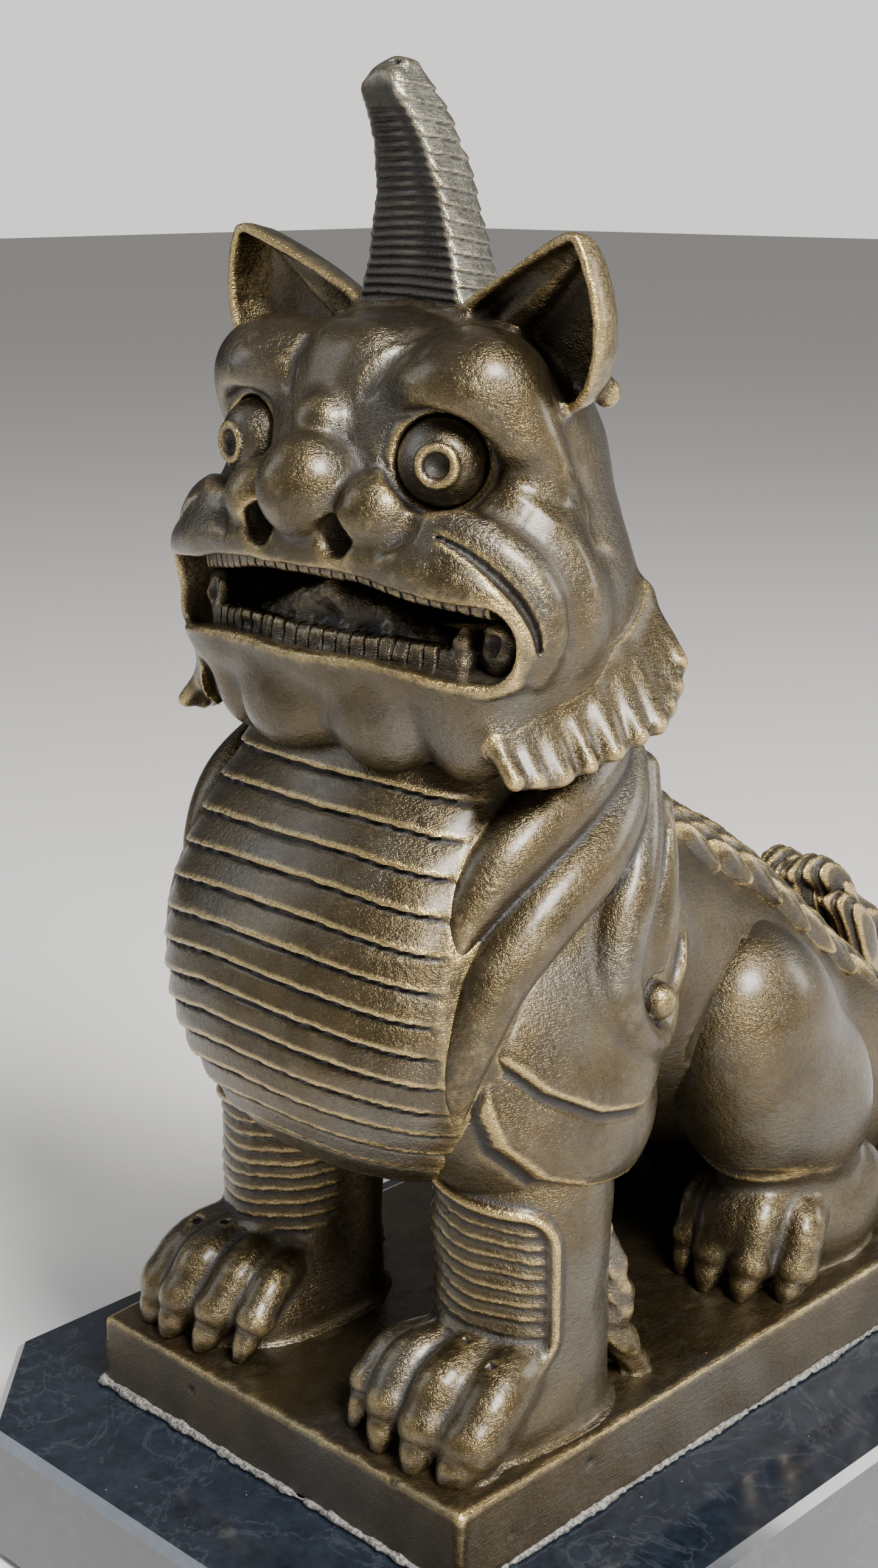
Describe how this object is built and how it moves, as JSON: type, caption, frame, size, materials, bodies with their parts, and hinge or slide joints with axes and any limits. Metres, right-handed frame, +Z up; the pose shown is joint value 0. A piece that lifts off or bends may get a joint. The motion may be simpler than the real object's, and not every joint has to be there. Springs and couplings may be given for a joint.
{
  "type": "guardian beast statue on a base",
  "caption": "Seated one-horned guardian beast in brown cast bronze with an open mouth and armoured chest, on a bronze plinth and a black marble base with cut corners.",
  "frame": {"origin": "middle of the felt's underside, directly under the middle of the marble base", "axes": "+Z up, -Y the way that the beast faces, +X the beast's own left side"},
  "size_m": [0.138, 0.238, 0.254],
  "materials": {
    "bronze": "satin",
    "marble": "polished",
    "felt": "matte",
    "steel": "satin",
    "adhesive": "matte"
  },
  "bodies": {
    "root": {"ear_left": "bronze", "ear_right": "bronze", "elbow_tuft_left": "bronze", "elbow_tuft_right": "bronze", "eye_left": "bronze", "eye_right": "bronze", "felt_sheet": "felt", "front_leg_left": "bronze", "front_leg_right": "bronze", "glue_bead": "adhesive", "head_casting": "bronze", "hind_leg_left": "bronze", "hind_leg_right": "bronze", "horn": "bronze", "lower_teeth": "bronze", "marble_base": "marble", "mounting_studs": "steel", "plinth_casting": "bronze", "ruff_left": "bronze", "ruff_right": "bronze", "shoulder_scroll_left": "bronze", "shoulder_scroll_right": "bronze", "spine_mane": "bronze", "stud_nuts": "steel", "stud_washers": "steel", "tail": "bronze", "tongue": "bronze", "torso_casting": "bronze", "upper_teeth": "bronze"}
  },
  "joints": []
}
